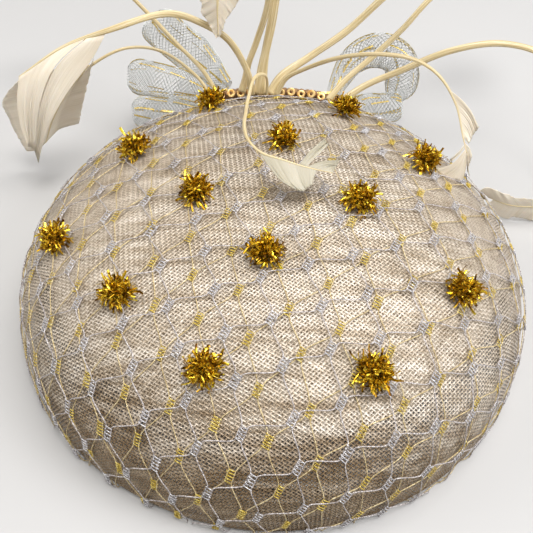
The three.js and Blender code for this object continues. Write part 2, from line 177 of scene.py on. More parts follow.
def tube(builder, line, radius, sides=6, up=None, flat=1.0):
    """A closed tube along a line. radius is one value or one per point; flat squashes it along up."""
    line = np.asarray(line, float)
    _, side, normal = rolled_frames(line) if up is None else frames_along(line, up)
    radius = np.broadcast_to(np.asarray(radius, float), len(line))
    angle = np.arange(sides) * 2 * np.pi / sides
    ring = side[:, None] * np.cos(angle)[:, None] + normal[:, None] * (flat * np.sin(angle))[:, None]
    points = (line[:, None] + ring * radius[:, None, None]).reshape(-1, 3)
    faces = grid_faces(len(line), sides, wrap=True)
    last = len(points) - sides
    # each end closes on its own middle point
    points = np.concatenate([points, line[[0, -1]]])
    j = np.arange(sides)
    k = (j + 1) % sides
    start, end = np.full(sides, len(points) - 2), np.full(sides, len(points) - 1)
    caps = [np.stack([start, k, j, start], -1), np.stack([end, last + j, last + k, end], -1)]
    length = run_along(line)
    uv = side_by_side((angle / (2 * np.pi))[None], length[:, None]).reshape(-1, 2)
    uv = np.concatenate([uv, [[0, length[0]], [0, length[-1]]]])
    builder.add(points, np.concatenate([faces, *caps]), uv)


def spline(points, count):
    """A smooth curve through points (centripetal Catmull-Rom), as count points evenly spaced along it."""
    p = np.asarray(points, float)
    p = np.concatenate([[2 * p[0] - p[1]], p, [2 * p[-1] - p[-2]]])
    fine = []
    for a, b, c, d in zip(p, p[1:], p[2:], p[3:]):
        t1 = np.linalg.norm(b - a) ** 0.5
        t2 = t1 + np.linalg.norm(c - b) ** 0.5
        t3 = t2 + np.linalg.norm(d - c) ** 0.5
        t = np.linspace(t1, t2, 24, endpoint=False)[:, None]
        ab = (t1 - t) / t1 * a + t / t1 * b
        bc = (t2 - t) / (t2 - t1) * b + (t - t1) / (t2 - t1) * c
        cd = (t3 - t) / (t3 - t2) * c + (t - t2) / (t3 - t2) * d
        left = (t2 - t) / t2 * ab + t / t2 * bc
        right = (t3 - t) / (t3 - t1) * bc + (t - t1) / (t3 - t1) * cd
        fine.append((t2 - t) / (t2 - t1) * left + (t - t1) / (t2 - t1) * right)
    fine = np.concatenate([*fine, p[-2:-1]])
    length = run_along(fine)
    even = np.linspace(0, length[-1], count)
    return np.stack([np.interp(even, length, fine[:, k]) for k in range(3)], -1)


def wavy(count, step, size):
    """A smooth random line of count values, about one wave each step values, of the given size."""
    knots = rng.normal(0, size, count // step + 3)
    return np.interp(np.arange(count) / step, np.arange(len(knots)), knots)


# ---- the dome's shape
DOME_POWER = 2.65  # superellipse exponent of the profile
RIM_FOLD = 0.9  # radius of the fold at the rim
RIM_FOLD_Z = 1.5  # where the side wall starts to fold under
TUCK = 1.1  # how far the cloth goes in under the rim


class Dome:
    """Maps a flat sheet onto the dome: a point keeps its direction from the middle, and its distance
    from the middle becomes the distance down from the crown."""

    def __init__(self):
        _, high = node_box("veil_silver")
        self.radius, self.height = high[0], high[2]
        t = np.linspace(0, np.pi / 2, 900)
        r = self.radius * np.sin(t) ** (2 / DOME_POWER)
        z = self.height * np.cos(t) ** (2 / DOME_POWER)
        wall = z >= RIM_FOLD_Z
        r, z = r[wall], z[wall]
        a = np.linspace(0, np.pi / 2, 12)[1:]
        fold_r = r[-1] - RIM_FOLD * (1 - np.cos(a))
        fold_z = z[-1] - RIM_FOLD * np.sin(a)
        tuck = np.linspace(0, TUCK, 5)[1:]
        self.r = np.concatenate([r, fold_r, fold_r[-1] - tuck])
        self.z = np.concatenate([z, fold_z, np.full(4, fold_z[-1])])
        steps = np.hypot(np.diff(self.r), np.diff(self.z))
        self.s = np.concatenate([[0], np.cumsum(steps)])
        dr, dz = np.gradient(self.r, self.s), np.gradient(self.z, self.s)
        self.nr, self.nz = -dz, dr
        self.edge = self.s[-1]
        self.wall_edge = self.s[len(r) - 1]

    def place(self, flat):
        """Flat points (x, y, lift off the surface) to places on the dome."""
        s, angle = np.hypot(flat[:, 0], flat[:, 1]), np.arctan2(flat[:, 1], flat[:, 0])
        r, z, nr, nz = (np.interp(s, self.s, v) for v in (self.r, self.z, self.nr, self.nz))
        r, z = r + nr * flat[:, 2], z + nz * flat[:, 2]
        return round_axis(r, angle, z)

    def normal(self, flat):
        s, angle = np.hypot(flat[:, 0], flat[:, 1]), np.arctan2(flat[:, 1], flat[:, 0])
        nr, nz = np.interp(s, self.s, self.nr), np.interp(s, self.s, self.nz)
        return unit(round_axis(nr, angle, nz))

    def flat(self, x, y):
        """The flat point above which a place on the dome lies, from its x and y."""
        out = np.interp(math.hypot(x, y), self.r[: np.argmax(self.r)], self.s[: np.argmax(self.r)])
        return np.array([x, y]) / max(math.hypot(x, y), 1e-6) * out


dome = Dome()


# ---- materials
class Look:
    """A Principled material, with short calls for the texture nodes that drive it."""

    def __init__(self, name, color, rough=0.6, metal=0.0, **sockets):
        self.material = bpy.data.materials.new(name)
        self.material.use_nodes = True
        self.nodes, self.links = self.material.node_tree.nodes, self.material.node_tree.links
        self.shader = self.nodes["Principled BSDF"]
        self.set("Base Color", (*color, 1))
        self.set("Roughness", rough)
        self.set("Metallic", metal)
        for socket, value in sockets.items():
            self.set(socket.replace("_", " "), value)

    def set(self, socket, value):
        self.shader.inputs[socket].default_value = value

    def node(self, kind, inputs=None, **settings):
        made = self.nodes.new("ShaderNode" + kind)
        for key, value in settings.items():
            setattr(made, key, value)
        for key, value in (inputs or {}).items():
            if isinstance(value, bpy.types.NodeSocket):
                self.links.new(value, made.inputs[key])
            else:
                made.inputs[key].default_value = value
        return made

    def place(self, kind="Object", scale=(1, 1, 1), turn=0.0):
        inputs = {"Vector": self.node("TexCoord").outputs[kind], "Scale": scale, "Rotation": (0, 0, turn)}
        return self.node("Mapping", inputs).outputs[0]

    def axes(self, kind="Object", scale=(1, 1, 1)):
        """The three coordinates of a place, one by one."""
        return self.node("SeparateXYZ", {"Vector": self.place(kind, scale)}).outputs

    def noise(self, where, scale, detail=3.0, rough=0.55):
        inputs = {"Vector": where, "Scale": scale, "Detail": detail, "Roughness": rough}
        return self.node("TexNoise", inputs).outputs["Fac"]

    def wave(self, where, scale, distort=0.0):
        inputs = {"Vector": where, "Scale": scale, "Distortion": distort}
        return self.node("TexWave", inputs, bands_direction="X").outputs["Fac"]

    def ramp(self, value, *stops):
        """Colour ramp; each stop is (position, colour)."""
        made = self.node("ValToRGB", {"Fac": value})
        while len(made.color_ramp.elements) < len(stops):
            made.color_ramp.elements.new(0.5)
        for element, (position, color) in zip(made.color_ramp.elements, stops):
            element.position, element.color = position, (*color, 1)
        return made.outputs["Color"]

    def math(self, operation, a, b=0.0):
        return self.node("Math", {0: a, 1: b}, operation=operation).outputs[0]

    def total(self, *parts):
        """The sum of values, each given with its weight."""
        first, *others = [self.math("MULTIPLY", value, weight) for value, weight in parts]
        for other in others:
            first = self.math("ADD", first, other)
        return first

    def carried(self, value, start, end, low=0.0, high=1.0):
        """A value carried over from the range start to end to the range low to high."""
        inputs = {"Value": value, "From Min": start, "From Max": end, "To Min": low, "To Max": high}
        return self.node("MapRange", inputs).outputs[0]

    def blend(self, factor, a, b):
        return self.node("Mix", {0: factor, 6: a, 7: b}, data_type="RGBA").outputs[2]

    def color(self, value, *stops):
        self.links.new(self.ramp(value, *stops) if stops else value, self.shader.inputs["Base Color"])

    def rough(self, value, low, high):
        self.links.new(self.carried(value, 0.0, 1.0, low, high), self.shader.inputs["Roughness"])

    def bump(self, height, distance, strength=1.0):
        """distance is in millimetres."""
        inputs = {"Height": height, "Distance": distance * MM, "Strength": strength}
        self.links.new(self.node("Bump", inputs).outputs[0], self.shader.inputs["Normal"])


# in metres, as the materials' coordinates are
CROWN_FORM_EDGE = 0.032  # height of the crown form's lower edge
SIDE_WALLS = (0.04, 0.08)  # how far to the side the streaks fade
FRONT_SHADE_BACK = 0.06  # how far in front of the middle the painted shade of the front starts to narrow
FRONT_SHADE_MIDDLE = -0.012  # the painted shade's middle, a little to the left
FRONT_SHADE_HALF_WIDTH = 0.03  # from there on to both sides the painted shade narrows as well


def sinamay_look():
    """Glossy flat fibre, with a small painted highlight where a thread rises over another and painted shade
    where it dips under.
    At the front below the crown form, where nothing pale backs it, it takes a darker copy of its tones:
    painted shade."""
    look = Look("sinamay", (0.55, 0.45, 0.32), rough=0.4, metal=0.35)
    streaks = look.noise(look.place(scale=(22, 300, 300)), 1.0, 2.0)
    fibres = look.noise(look.place("UV", (9.0, 0.5, 1)), 1.0, 4.0)
    across, along, _ = look.axes("UV")
    x, y, z = look.axes()
    # the streaks run from side to side, and fade on the walls that face the sides
    faded = look.carried(look.math("ABSOLUTE", x), *SIDE_WALLS, 1.0, 0.2)
    streaked = look.math("ADD", look.math("MULTIPLY", look.math("SUBTRACT", streaks, 0.5), faded), 0.5)
    # a small painted highlight where a thread crests over another, and painted shade where it dips under
    crest = look.math("COSINE", look.math("MULTIPLY", along, 2 * math.pi))
    tone = look.total((streaked, 0.42), (fibres, 0.58), (crest, 0.05))
    # a lit copy of the tones where the crown form backs the cloth, and a darker copy, painted shade, at the
    # front below it
    backed_lit_tones = ((0.36, (0.25, 0.175, 0.10)), (0.5, (0.55, 0.455, 0.345)), (0.64, (0.86, 0.785, 0.69)))
    bare_shaded_tones = ((0.36, (0.09, 0.048, 0.016)), (0.5, (0.28, 0.185, 0.095)), (0.66, (0.60, 0.475, 0.33)))
    # the painted shade reaches less far up towards the back and to both sides
    behind = look.math("MAXIMUM", look.math("ADD", y, FRONT_SHADE_BACK))
    beside = look.math("ABSOLUTE", look.math("SUBTRACT", x, FRONT_SHADE_MIDDLE))
    beside = look.math("MAXIMUM", look.math("SUBTRACT", beside, FRONT_SHADE_HALF_WIDTH))
    height = look.total((z, 1.0), (streaks, 0.03), (behind, 0.7), (beside, 0.35))
    # the lit tones fade into the painted shade just below the crown form's edge
    upper = look.carried(height, CROWN_FORM_EDGE + 0.004, CROWN_FORM_EDGE + 0.022)
    look.color(look.blend(upper, look.ramp(tone, *bare_shaded_tones), look.ramp(tone, *backed_lit_tones)))
    look.rough(fibres, 0.32, 0.55)
    rounded = look.math("SINE", look.math("MULTIPLY", across, math.pi))
    look.bump(look.total((rounded, 1.0), (fibres, 0.5)), 0.12, 0.8)
    return look.material


def buckram_look():
    """Stiff pale cloth with uneven streaks from side to side."""
    look = Look("buckram", (0.62, 0.53, 0.40), rough=0.8)
    streaks = look.noise(look.place("UV", (0.05, 0.62, 1)), 1.0, 3.0, 0.6)
    threads = look.wave(look.place("UV", turn=math.radians(37)), 0.37)
    tone = look.total((threads, 0.2), (streaks, 0.8))
    look.color(tone, (0.38, (0.34, 0.26, 0.17)), (0.5, (0.70, 0.60, 0.47)), (0.62, (0.90, 0.83, 0.70)))
    look.bump(tone, 0.25, 0.6)
    return look.material


def lurex_look(name, dark, mid, light, metal):
    look = Look(name, mid, rough=0.35, metal=metal)
    # light spots along the thread are painted glints, dark ones painted shade
    painted_glints = look.noise(look.place(), 1900.0, 2.0, 0.7)
    look.color(painted_glints, (0.35, dark), (0.5, mid), (0.66, light))
    look.rough(painted_glints, 0.5, 0.18)
    look.bump(look.wave(look.place("UV", (1, 1.4, 1), 0.7), 2.0), 0.05, 0.6)
    return look.material


def tinsel_look():
    look = Look("tinsel", (0.80, 0.50, 0.05), rough=0.25, metal=0.75)
    strip = look.axes("UV", (1, 1.7, 1))[1]
    tone = look.noise(look.node("CombineXYZ", {"Y": strip}).outputs[0], 1.3, 1.0)
    # the foil's tone runs from near black to bright yellow along and between strips: painted shade and
    # painted highlight
    look.color(tone, (0.37, (0.11, 0.045, 0.002)), (0.48, (0.50, 0.26, 0.006)), (0.58, (1.0, 0.76, 0.07)))
    look.rough(tone, 0.36, 0.16)
    return look.material


def vane_look(name, dark, mid, light):
    look = Look(name, mid, rough=0.5, Subsurface_Weight=0.25)
    look.set("Subsurface Radius", (0.002, 0.0016, 0.001))
    barbs = look.noise(look.place("UV", (1.0, 0.02, 1)), 3.2, 4.0, 0.6)
    broad = look.noise(look.place("UV", (0.16, 0.03, 1)), 1.0, 2.0)
    look.color(look.total((barbs, 0.5), (broad, 0.5)), (0.3, dark), (0.5, mid), (0.7, light))
    look.bump(barbs, 0.05, 0.5)
    return look.material


def quill_look():
    look = Look("quill", (0.72, 0.61, 0.40), rough=0.42, Coat_Weight=0.15, Subsurface_Weight=0.1)
    look.set("Subsurface Radius", (0.002, 0.0014, 0.0008))
    streaks = look.noise(look.place("UV", (14.0, 0.05, 1)), 1.0, 3.0)
    look.color(streaks, (0.3, (0.50, 0.37, 0.17)), (0.52, (0.70, 0.57, 0.32)), (0.7, (0.84, 0.75, 0.53)))
    look.rough(streaks, 0.32, 0.55)
    look.bump(streaks, 0.06, 0.4)
    return look.material


def crin_look():
    look = Look("crin", (0.80, 0.83, 0.86), rough=0.3)
    tone = look.noise(look.place(), 260.0, 2.0)
    look.color(tone, (0.3, (0.58, 0.60, 0.60)), (0.7, (0.86, 0.88, 0.88)))
    return look.material


def braid_look():
    look = Look("braid", (0.36, 0.17, 0.06), rough=0.6, Sheen_Weight=0.2)
    plait = look.wave(look.place("UV", turn=0.8), 1.1, 1.5)
    speck = look.noise(look.place(), 1500.0, 3.0)
    tone = look.total((plait, 0.5), (speck, 0.5))
    look.color(tone, (0.25, (0.13, 0.05, 0.02)), (0.5, (0.38, 0.18, 0.07)), (0.75, (0.62, 0.38, 0.16)))
    look.bump(tone, 0.4, 0.8)
    return look.material


def sequin_look():
    look = Look("sequin", (0.96, 0.60, 0.20), rough=0.35, metal=0.5)
    tone = look.noise(look.place(), 500.0, 2.0)
    look.color(tone, (0.35, (0.86, 0.46, 0.12)), (0.65, (1.0, 0.74, 0.34)))
    return look.material


def ribbon_look():
    """Grosgrain: close ribs across the ribbon."""
    look = Look("ribbon", (0.80, 0.75, 0.64), rough=0.5, Sheen_Weight=0.25)
    ribs = look.wave(look.place("UV"), 0.42)
    speck = look.noise(look.place(), 700.0, 3.0)
    tone = look.total((ribs, 0.55), (speck, 0.45))
    look.color(tone, (0.2, (0.60, 0.54, 0.43)), (0.55, (0.80, 0.75, 0.64)), (0.85, (0.90, 0.86, 0.78)))
    look.bump(ribs, 0.25, 0.8)
    return look.material


def thread_look():
    look = Look("sewing_thread", (0.84, 0.80, 0.70), rough=0.6, Sheen_Weight=0.3)
    twist = look.wave(look.place("UV", turn=0.7), 2.5)
    look.color(twist, (0.1, (0.62, 0.57, 0.46)), (0.7, (0.88, 0.84, 0.75)))
    look.bump(twist, 0.06, 0.8)
    return look.material


def comb_look():
    look = Look("comb_plastic", (0.86, 0.84, 0.78), rough=0.16, Transmission_Weight=0.45, IOR=1.49)
    marks = look.noise(look.place(), 220.0, 4.0)
    look.color(marks, (0.35, (0.80, 0.77, 0.70)), (0.65, (0.90, 0.88, 0.84)))
    look.rough(marks, 0.1, 0.3)
    return look.material


def steel_look(name, color, rough):
    look = Look(name, color, rough=rough, metal=1.0)
    brushed = look.noise(look.place("Object", (40, 600, 600)), 3.0, 4.0)
    spots = look.noise(look.place(), 180.0, 3.0)
    look.color(spots, (0.3, tuple(c * 0.82 for c in color)), (0.7, color))
    look.rough(brushed, rough * 0.7, rough * 1.5)
    look.bump(brushed, 0.02, 0.5)
    return look.material


def floor_look():
    look = Look("floor", (0.52, 0.515, 0.51), rough=0.85)
    tone = look.noise(look.place(), 3.0, 2.0)
    look.color(tone, (0.3, (0.51, 0.505, 0.50)), (0.7, (0.54, 0.535, 0.53)))
    return look.material


LOOKS = {
    "sinamay": sinamay_look(),
    "buckram": buckram_look(),
    "tinsel": tinsel_look(),
    "vane": vane_look("feather_vane", (0.66, 0.57, 0.43), (0.78, 0.70, 0.57), (0.87, 0.81, 0.70)),
    # a darker copy of the vane look, painted shade, for the thin feather that lies on top of the crown
    "shaded_thin_vane": vane_look("shaded_thin_feather_vane", (0.36, 0.32, 0.22), (0.46, 0.42, 0.32), (0.56, 0.52, 0.42)),
    "quill": quill_look(),
    "crin": crin_look(),
    "braid": braid_look(),
    "sequin": sequin_look(),
    "ribbon": ribbon_look(),
    "thread": thread_look(),
    "comb": comb_look(),
    "clip": steel_look("clip_steel", (0.78, 0.79, 0.80), 0.22),
    "wire": steel_look("rim_wire_steel", (0.52, 0.52, 0.52), 0.4),
}
# dark tone (painted shade), middle tone, light tone (painted glint), and how metallic
LUREX = {
    "silver_thread": ((0.26, 0.22, 0.20), (0.52, 0.47, 0.46), (0.88, 0.84, 0.83), 0.3),
    "silver_lurex": ((0.12, 0.11, 0.11), (0.66, 0.64, 0.67), (1.0, 1.0, 1.0), 0.3),
    "gold_thread": ((0.34, 0.23, 0.09), (0.66, 0.52, 0.28), (0.92, 0.80, 0.50), 0.2),
    "gold_lurex": ((0.20, 0.12, 0.01), (0.76, 0.54, 0.07), (1.0, 0.90, 0.36), 0.4),
    "lurex": ((0.62, 0.40, 0.05), (0.94, 0.70, 0.18), (1.0, 0.93, 0.55), 0.7),
}
for lurex_name, tones in LUREX.items():
    LOOKS[lurex_name] = lurex_look(lurex_name, *tones)

# ---- sinamay cover and crown form
WEAVE_PITCH = 0.98
WEAVE_ANGLES = (48.0, 152.0)  # the threads' directions: the cloth is pulled off square on the bias
THREAD_WIDTH = 0.5
WEAVE_RISE = 0.06  # how far a thread rises over the one it crosses
COVER_LIFT = -0.95  # the cover's middle, below the outside of the silver veil
LEVEL = 0.22  # how far a thread stays level on each side of a crossing, as a share of a step


def cover_lift(flat):
    """The cloth's small unevenness over the form."""
    x, y = flat[:, 0], flat[:, 1]
    return 0.18 * np.sin(x / 17 + 1.3 * np.sin(y / 23)) + 0.14 * np.sin(y / 12 + x / 31)


def weave(builder, reach, lift):
    """Two families of flat threads, over and under each other, as far as reach from the middle."""
    along = [np.array([math.cos(a), math.sin(a)]) for a in np.radians(WEAVE_ANGLES)]
    across = [np.array([-a[1], a[0]]) for a in along]
    step = abs(WEAVE_PITCH / (along[0] @ across[1]))  # from one crossing to the next, along a thread
    count = int(reach / WEAVE_PITCH)
    for family in (0, 1):
        a, n, other = along[family], across[family], across[1 - family]
        for k in range(-count, count + 1):
            # the crossings of thread k with the other family's threads j
            foot = n * k * WEAVE_PITCH
            shift = -(foot @ other) / (a @ other)
            half = math.sqrt(max(reach**2 - (k * WEAVE_PITCH) ** 2, 0))
            j = np.arange(math.ceil((-half - shift) / step), int((half - shift) / step) + 1)
            if len(j) < 3:
                continue
            run = shift + j * step
            sway = wavy(len(j), 9, 0.05) + rng.normal(0, 0.05) + 0.2 * math.sin(k / 11)
            crest = (j + k + family) % 2 == 0
            # a level point on each side of a crossing, so that the thread lies flat over or under it
            run = np.repeat(run, 2) + np.tile([-LEVEL, LEVEL], len(j)) * step
            middle = foot + np.outer(run, a) + np.outer(np.repeat(sway, 2), n)
            over = np.repeat(np.where(crest, WEAVE_RISE, -WEAVE_RISE), 2)
            beat = (np.arange(len(j)) + 1 - crest[0]) / 2
            wide = 0.5 * THREAD_WIDTH * (1 + wavy(len(run), 12, 0.15)) * rng.uniform(0.85, 1.15)
            edges = []
            for sign in (-1, 1):
                flat = middle + sign * np.outer(wide, n)
                edges.append(np.column_stack([flat, lift + over + cover_lift(flat)]))
            points = np.stack(edges, 1).reshape(-1, 3)
            # whole numbers keep the sinamay's painted crest highlights on the crests, and set the threads'
            # fibres apart
            phase = np.repeat(beat + 37 * k + 11000 * family, 2) + np.tile([-LEVEL / 2, LEVEL / 2], len(j))
            texture = np.column_stack([np.tile([0.0, 1.0], len(run)), np.repeat(phase, 2)])
            builder.add(points, grid_faces(len(run), 2), texture)


def sinamay_cover():
    builder = Builder()
    weave(builder, dome.edge, COVER_LIFT)
    cover = builder.piece("sinamay_weave", "sinamay", slot="sinamay", node="sinamay_cover",
                          reshape=dome.place)


FORM_THICKNESS = 1.1
FORM_RINGS = 40
FORM_SPOKES = 120


def crown_form():
    """A smooth shell inside the cover, from the crown down to its own edge."""
    low, high = node_box("crown_form")
    inset = dome.height - high[2]
    s = np.linspace(0.02, dome.s[dome.z > low[2]][-1], FORM_RINGS)
    angle = np.arange(FORM_SPOKES) * 2 * np.pi / FORM_SPOKES
    flat = round_axis(s[:, None], angle, 0.0).reshape(-1, 3)
    outer, inner = (dome.place(flat - [0, 0, depth]) for depth in (inset, inset + FORM_THICKNESS))
    count = len(flat)
    skin = grid_faces(FORM_RINGS, FORM_SPOKES, wrap=True)
    j = np.arange(FORM_SPOKES) + count - FORM_SPOKES
    k = np.roll(j, -1)
    faces = np.concatenate([skin, skin[:, ::-1] + count, np.stack([j, k, k + count, j + count], -1)])
    points, uv = np.concatenate([outer, inner]), np.tile(flat[:, :2], (2, 1))
    make_piece("crown_form_shell", points, faces, uv, "buckram",
               node="crown_form")


# ---- veiling
WRAP_RADIUS = 0.15
WRAP_TURNS = 4.5
BEND_REACH = 7  # knots from the middle where the veils' pull stops changing


class Veil:
    """Netting of threads that meet in ladder knots, laid out flat and then put on the dome.

    start is a knot, right and down the steps to the knots beside and below it, and bend how the pull of
    the cloth changes them over the dome. A ladder is two threads side by side, bound by a wrapping
    thread; at its ends the threads part, one to the knot on the right or left and one to the knot above
    or below."""

    def __init__(self, name, looks, start, right, down, bend, lift, thread, length, width):
        self.name, self.looks = name, looks
        self.start, self.right, self.down, self.bend = map(np.array, (start, right, down, bend))
        self.lift, self.thread, self.length, self.width = lift, thread, length, width
        self.axis = unit(self.right - self.down)
        self.side = np.array([self.axis[1], -self.axis[0]])
        self.jitter = {}

    def knot(self, i, j):
        if (i, j) not in self.jitter:
            self.jitter[i, j] = rng.normal(0, 0.3, 2)
        a, b = (max(-BEND_REACH, min(BEND_REACH, v)) for v in (i, j))
        bend = a * a * self.bend[0] + a * b * self.bend[1] + b * b * self.bend[2]
        return self.start + i * self.right + j * self.down + bend + self.jitter[i, j]

    def rail(self, i, j, side):
        """A thread's points past one knot, along one side of its ladder."""
        middle = self.knot(i, j) + side * self.width / 2 * self.side
        return [middle + a * self.length / 2 * self.axis for a in (-1, -0.4, 0.4, 1)]

    def thread_line(self, c, reach):
        """One thread's whole run: right to a knot, up to the next, and so on across the sheet."""
        corners = []
        for i in range(-reach, reach + 1):
            corners += self.rail(i, c - i, 1)
            corners += self.rail(i + 1, c - i, -1)
        corners = np.array(corners)
        flat = spline(np.column_stack([corners, np.zeros(len(corners))]), len(corners) * 5)[:, :2]
        return flat + np.column_stack([wavy(len(flat), 9, 0.09), wavy(len(flat), 9, 0.09)])

    def make_threads(self, builder, reach):
        for c in range(-2 * reach, 2 * reach + 1):
            flat = self.thread_line(c, 2 * reach)
            inside = np.hypot(flat[:, 0], flat[:, 1]) < dome.edge
            if inside.sum() < 4:
                continue
            first, last = np.flatnonzero(inside)[[0, -1]]
            flat = flat[first : last + 1]
            lift = self.lift + wavy(len(flat), 12, 0.1) + cover_lift(flat)
            line = np.column_stack([flat, lift])
            radius = self.thread * (1 + wavy(len(flat), 3, 0.1))
            tube(builder, line, radius, sides=6, up=(0, 0, 1))

    def make_wraps(self, builder, reach):
        t = np.linspace(0, 1, int(WRAP_TURNS * 9))
        angle = t * WRAP_TURNS * 2 * np.pi
        for i in range(-reach, reach + 1):
            for j in range(-reach, reach + 1):
                middle = self.knot(i, j)
                if np.hypot(*middle) > dome.wall_edge - 1:
                    continue
                wide = (self.width / 2 + self.thread) * rng.uniform(0.85, 1.15)
                wide = wide * (1 + wavy(len(t), 5, 0.08))
                tall = self.thread + 0.1
                along = (t - 0.5) * self.length * rng.uniform(0.88, 1.04) + wavy(len(t), 4, 0.06)
                flat = middle + np.outer(along, self.axis) + np.outer(wide * np.cos(angle), self.side)
                lift = self.lift + cover_lift(middle[None])[0] + tall * np.sin(angle)
                tube(builder, np.column_stack([flat, lift]), WRAP_RADIUS, sides=5)

    def make(self, node):
        reach = int(2 * dome.edge / np.linalg.norm(self.right)) // 2 + 5
        parts = (("threads", self.make_threads), ("ladders", self.make_wraps))
        for (part, fill), look in zip(parts, self.looks):
            builder = Builder()
            fill(builder, reach)
            builder.piece(f"{self.name}_{part}", look, self.name, node, reshape=dome.place)


def veils():
    Veil(
        "gold_veiling", ("gold_thread", "gold_lurex"), start=(6.6, 9.8), right=(10.7, 8.8),
        down=(2.5, -14.1), bend=((0.09, -0.05), (0.03, -0.01), (0.11, 0.07)),
        lift=-0.1, thread=0.17, length=4.2, width=1.9,
    ).make("veil_gold")
    Veil(
        "silver_veiling", ("silver_thread", "silver_lurex"), start=(1.2, -1.0), right=(12.6, 4.8),
        down=(4.5, -12.7), bend=((0.05, 0.05), (0.06, -0.02), (-0.17, -0.02)),
        lift=0.25, thread=0.18, length=4.6, width=2.0,
    ).make("veil_silver")


# ---- pompoms
STRIPS = 340  # tinsel strips in a pompom
STRIP_WIDTH = 0.64
STRIP_POINTS = 6
STRIP_LENGTHS = (0.72, 1.02)  # as shares of the pompom's half size


def tinsel_strip(builder, root, way, length, out):
    """A narrow strip of foil that bends over and twists as it leaves the middle of its pompom."""
    t = np.linspace(0, 1, STRIP_POINTS)[:, None]
    curl = unit(np.cross(way, rng.normal(0, 1, 3))) * rng.uniform(0.2, 0.85) * length
    line = root + way * length * (t - 0.18 * t**3) + curl * t**2
    _, side, normal = frames_along(line, unit(out + rng.normal(0, 0.9, 3)))
    spin = rng.uniform(-0.5, 0.5) * np.pi * t
    side, normal = side * np.cos(spin) + normal * np.sin(spin), normal * np.cos(spin) - side * np.sin(spin)
    half = STRIP_WIDTH / 2 * rng.uniform(0.7, 1.3)
    points = np.stack([line - side * half, line + normal * half * 0.4, line + side * half], 1)
    shade = rng.uniform(0, 40)
    uv = np.column_stack([np.tile([0.0, 0.5, 1.0], STRIP_POINTS), np.repeat(shade + t[:, 0], 3)])
    builder.add(points.reshape(-1, 3), grid_faces(STRIP_POINTS, 3), uv)


def pompom(node):
    low, high = node_box(node)
    centre = (low + high) / 2
    flat = dome.flat(centre[0], centre[1])
    out = dome.normal(np.array([[*flat, 0.0]]))[0]
    root = dome.place(np.array([[*flat, -0.3]]))[0]
    size = np.max(high - low) / 2
    builder = Builder()
    for _ in range(STRIPS):
        way = unit(rng.normal(0, 1, 3))
        up = way @ out
        way = unit(way + out * (0.05 + (abs(up) - up)))
        length = size * rng.uniform(*STRIP_LENGTHS) * (1.18 - 0.6 * (way @ out))
        start = root + out * rng.uniform(0.8, 2.6) + rng.normal(0, 0.9, 3)
        tinsel_strip(builder, start, way, length, out)
    builder.piece(node + "_tinsel", "tinsel", slot="tinsel", node=node)


